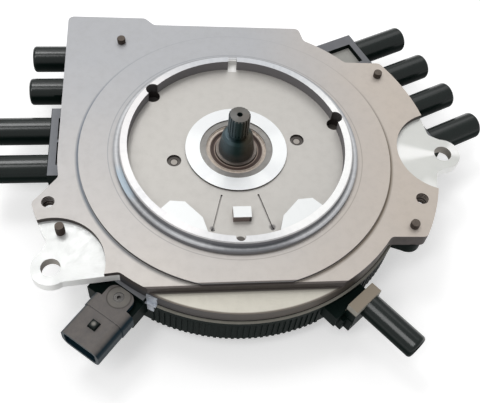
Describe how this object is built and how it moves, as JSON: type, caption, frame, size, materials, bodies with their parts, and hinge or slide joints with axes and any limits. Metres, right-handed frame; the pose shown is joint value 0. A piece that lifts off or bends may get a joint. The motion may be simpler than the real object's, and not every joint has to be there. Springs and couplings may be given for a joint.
{
  "type": "ignition distributor",
  "caption": "Low round ignition distributor with a cast plate, bolt ears, splined shaft in a ball bearing, rotor, sensor wheel, side towers and a connector.",
  "frame": {"origin": "on the drive shaft's axis, at the machined face round the pilot ring", "axes": "+Z along the shaft towards the engine, +Y from the locating lug to the notch in the pilot ring"},
  "size_m": [0.2519, 0.1993, 0.0651],
  "materials": {
    "cast_aluminium": "satin",
    "machined_aluminium": "satin",
    "shaft_steel": "satin",
    "race_steel": "polished",
    "spring_steel": "satin",
    "screw_steel": "satin",
    "clip_steel": "satin",
    "cage_brass": "satin",
    "contact_brass": "satin",
    "contact_aluminium": "satin",
    "shield_rubber": "matte",
    "gasket_rubber": "matte",
    "sensor_plastic": "matte",
    "cover_plastic": "matte",
    "rotor_plastic": "matte",
    "cap_plastic": "gloss",
    "connector_plastic": "satin",
    "carbon": "matte"
  },
  "bodies": {
    "housing": {"base_housing": "cast_aluminium", "bearing_outer_race": "race_steel", "bearing_shields": "shield_rubber", "sensor_plate": "machined_aluminium", "sensor_screws": "screw_steel", "optical_sensor": "sensor_plastic", "dust_cover": "cover_plastic", "dust_cover_screws": "screw_steel", "cap": "cap_plastic", "cap_gasket": "gasket_rubber", "cap_screws": "screw_steel", "cap_electrodes": "contact_aluminium", "spark_terminals": "contact_brass", "coil_terminal": "contact_brass", "button_spring": "spring_steel", "connector_housing": "connector_plastic", "connector_pins": "contact_brass", "connector_screw": "screw_steel", "lead_clip": "clip_steel"},
    "shaft": {"drive_shaft": "shaft_steel", "bearing_inner_race": "race_steel", "shaft_snap_ring": "spring_steel", "wheel_hub": "machined_aluminium", "shutter_wheel": "spring_steel", "wheel_clamp_ring": "machined_aluminium", "rotor_body": "rotor_plastic", "rotor_electrode": "contact_brass", "rotor_screws": "screw_steel"},
    "bearing_balls_and_cage": {"bearing_cage": "cage_brass", "bearing_balls": "race_steel"},
    "button": {"contact_button": "carbon"}
  },
  "joints": [
    {"name": "shaft_spin", "type": "hinge", "parent": "housing", "child": "shaft", "pos_m": [0, 0, 0], "axis": [0, 0, 1], "continuous": true},
    {"name": "cage_spin", "type": "hinge", "parent": "housing", "child": "bearing_balls_and_cage", "pos_m": [0, 0, -0.0058], "axis": [0, 0, 1], "continuous": true},
    {"name": "button_press", "type": "slide", "parent": "housing", "child": "button", "axis": [0, 0, -1], "range_m": [0, 0.0015], "stiffness_N_per_m": 300, "springref_m": -0.004, "deforming": ["button_spring"]}
  ],
  "couplings": [
    {"joint": "cage_spin", "follows": "shaft_spin", "ratio": 0.381}
  ]
}
